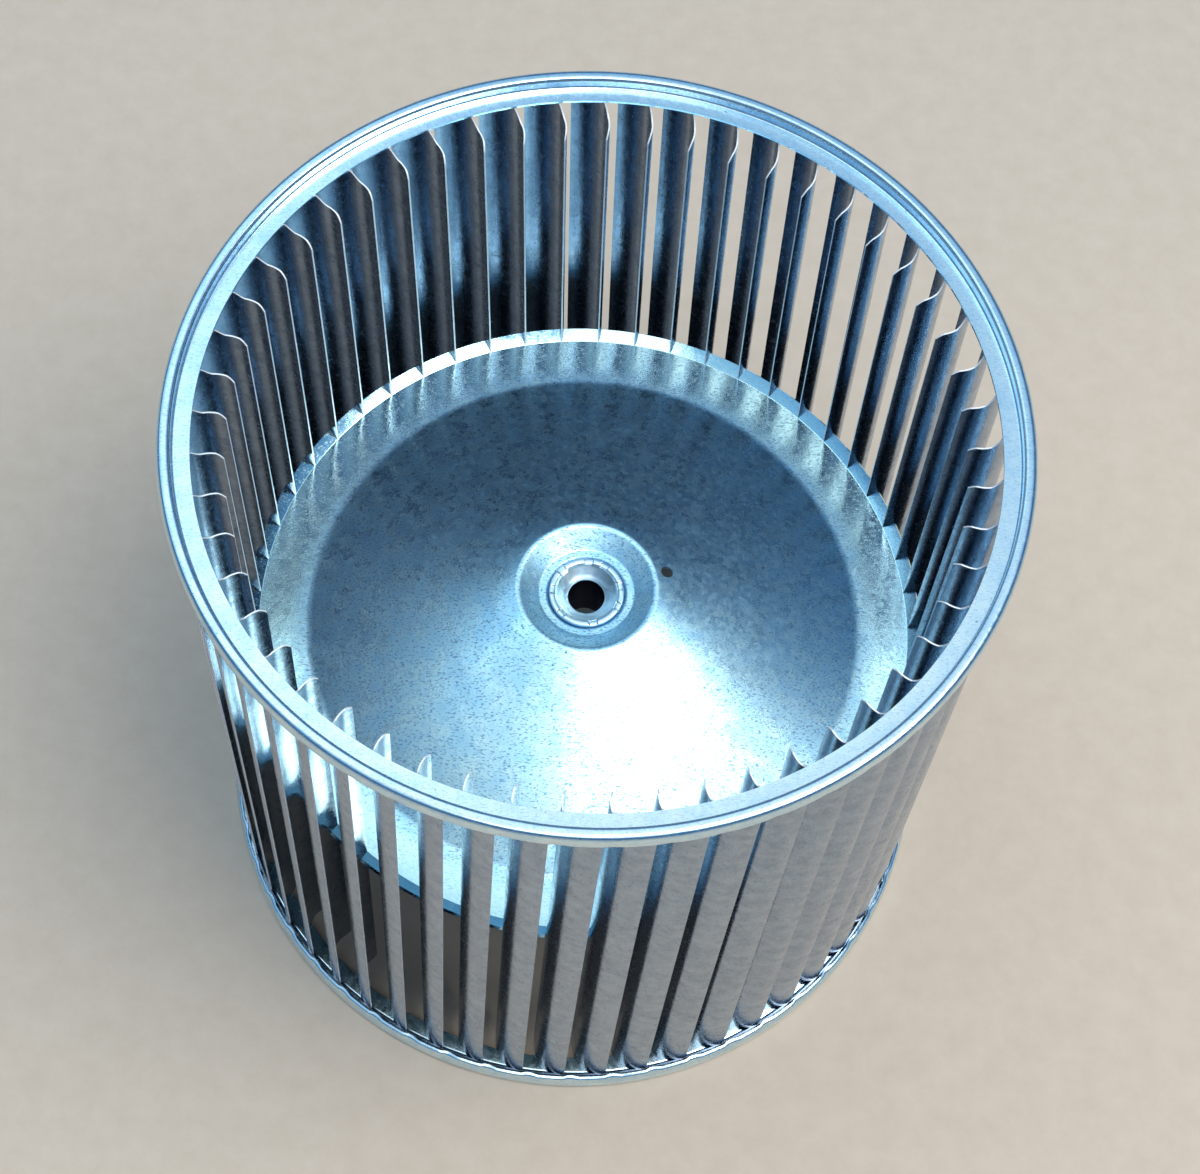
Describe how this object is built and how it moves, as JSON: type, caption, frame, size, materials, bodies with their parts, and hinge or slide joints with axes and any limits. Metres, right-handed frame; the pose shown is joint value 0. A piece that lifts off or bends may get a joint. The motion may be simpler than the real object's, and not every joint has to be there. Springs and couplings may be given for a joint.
{
  "type": "blower wheel",
  "caption": "Double-inlet blower wheel with forward-curved sheet blades, rolled end rings, a dished centre disc and a staked hub.",
  "frame": {"origin": "centre of the circle that the lower end ring rests on, on the shaft's axis", "axes": "+Z along the shaft, up through the wheel as it stands; +X and +Y across it"},
  "size_m": [0.2698, 0.2698, 0.2699],
  "materials": {
    "galvanised_blades": "galvanised, fine spangle",
    "galvanised_ring": "galvanised, rolled smooth",
    "galvanised_disc": "galvanised, fine spangle and specks",
    "zinc_plated_hub": "turned and zinc plated",
    "zinc_plated_screw": "zinc plated"
  },
  "bodies": {
    "root": {"blade_strip": "galvanised_blades", "upper_end_ring": "galvanised_ring", "lower_end_ring": "galvanised_ring", "centre_disc": "galvanised_disc", "hub": "zinc_plated_hub", "set_screw": "zinc_plated_screw"}
  },
  "joints": []
}
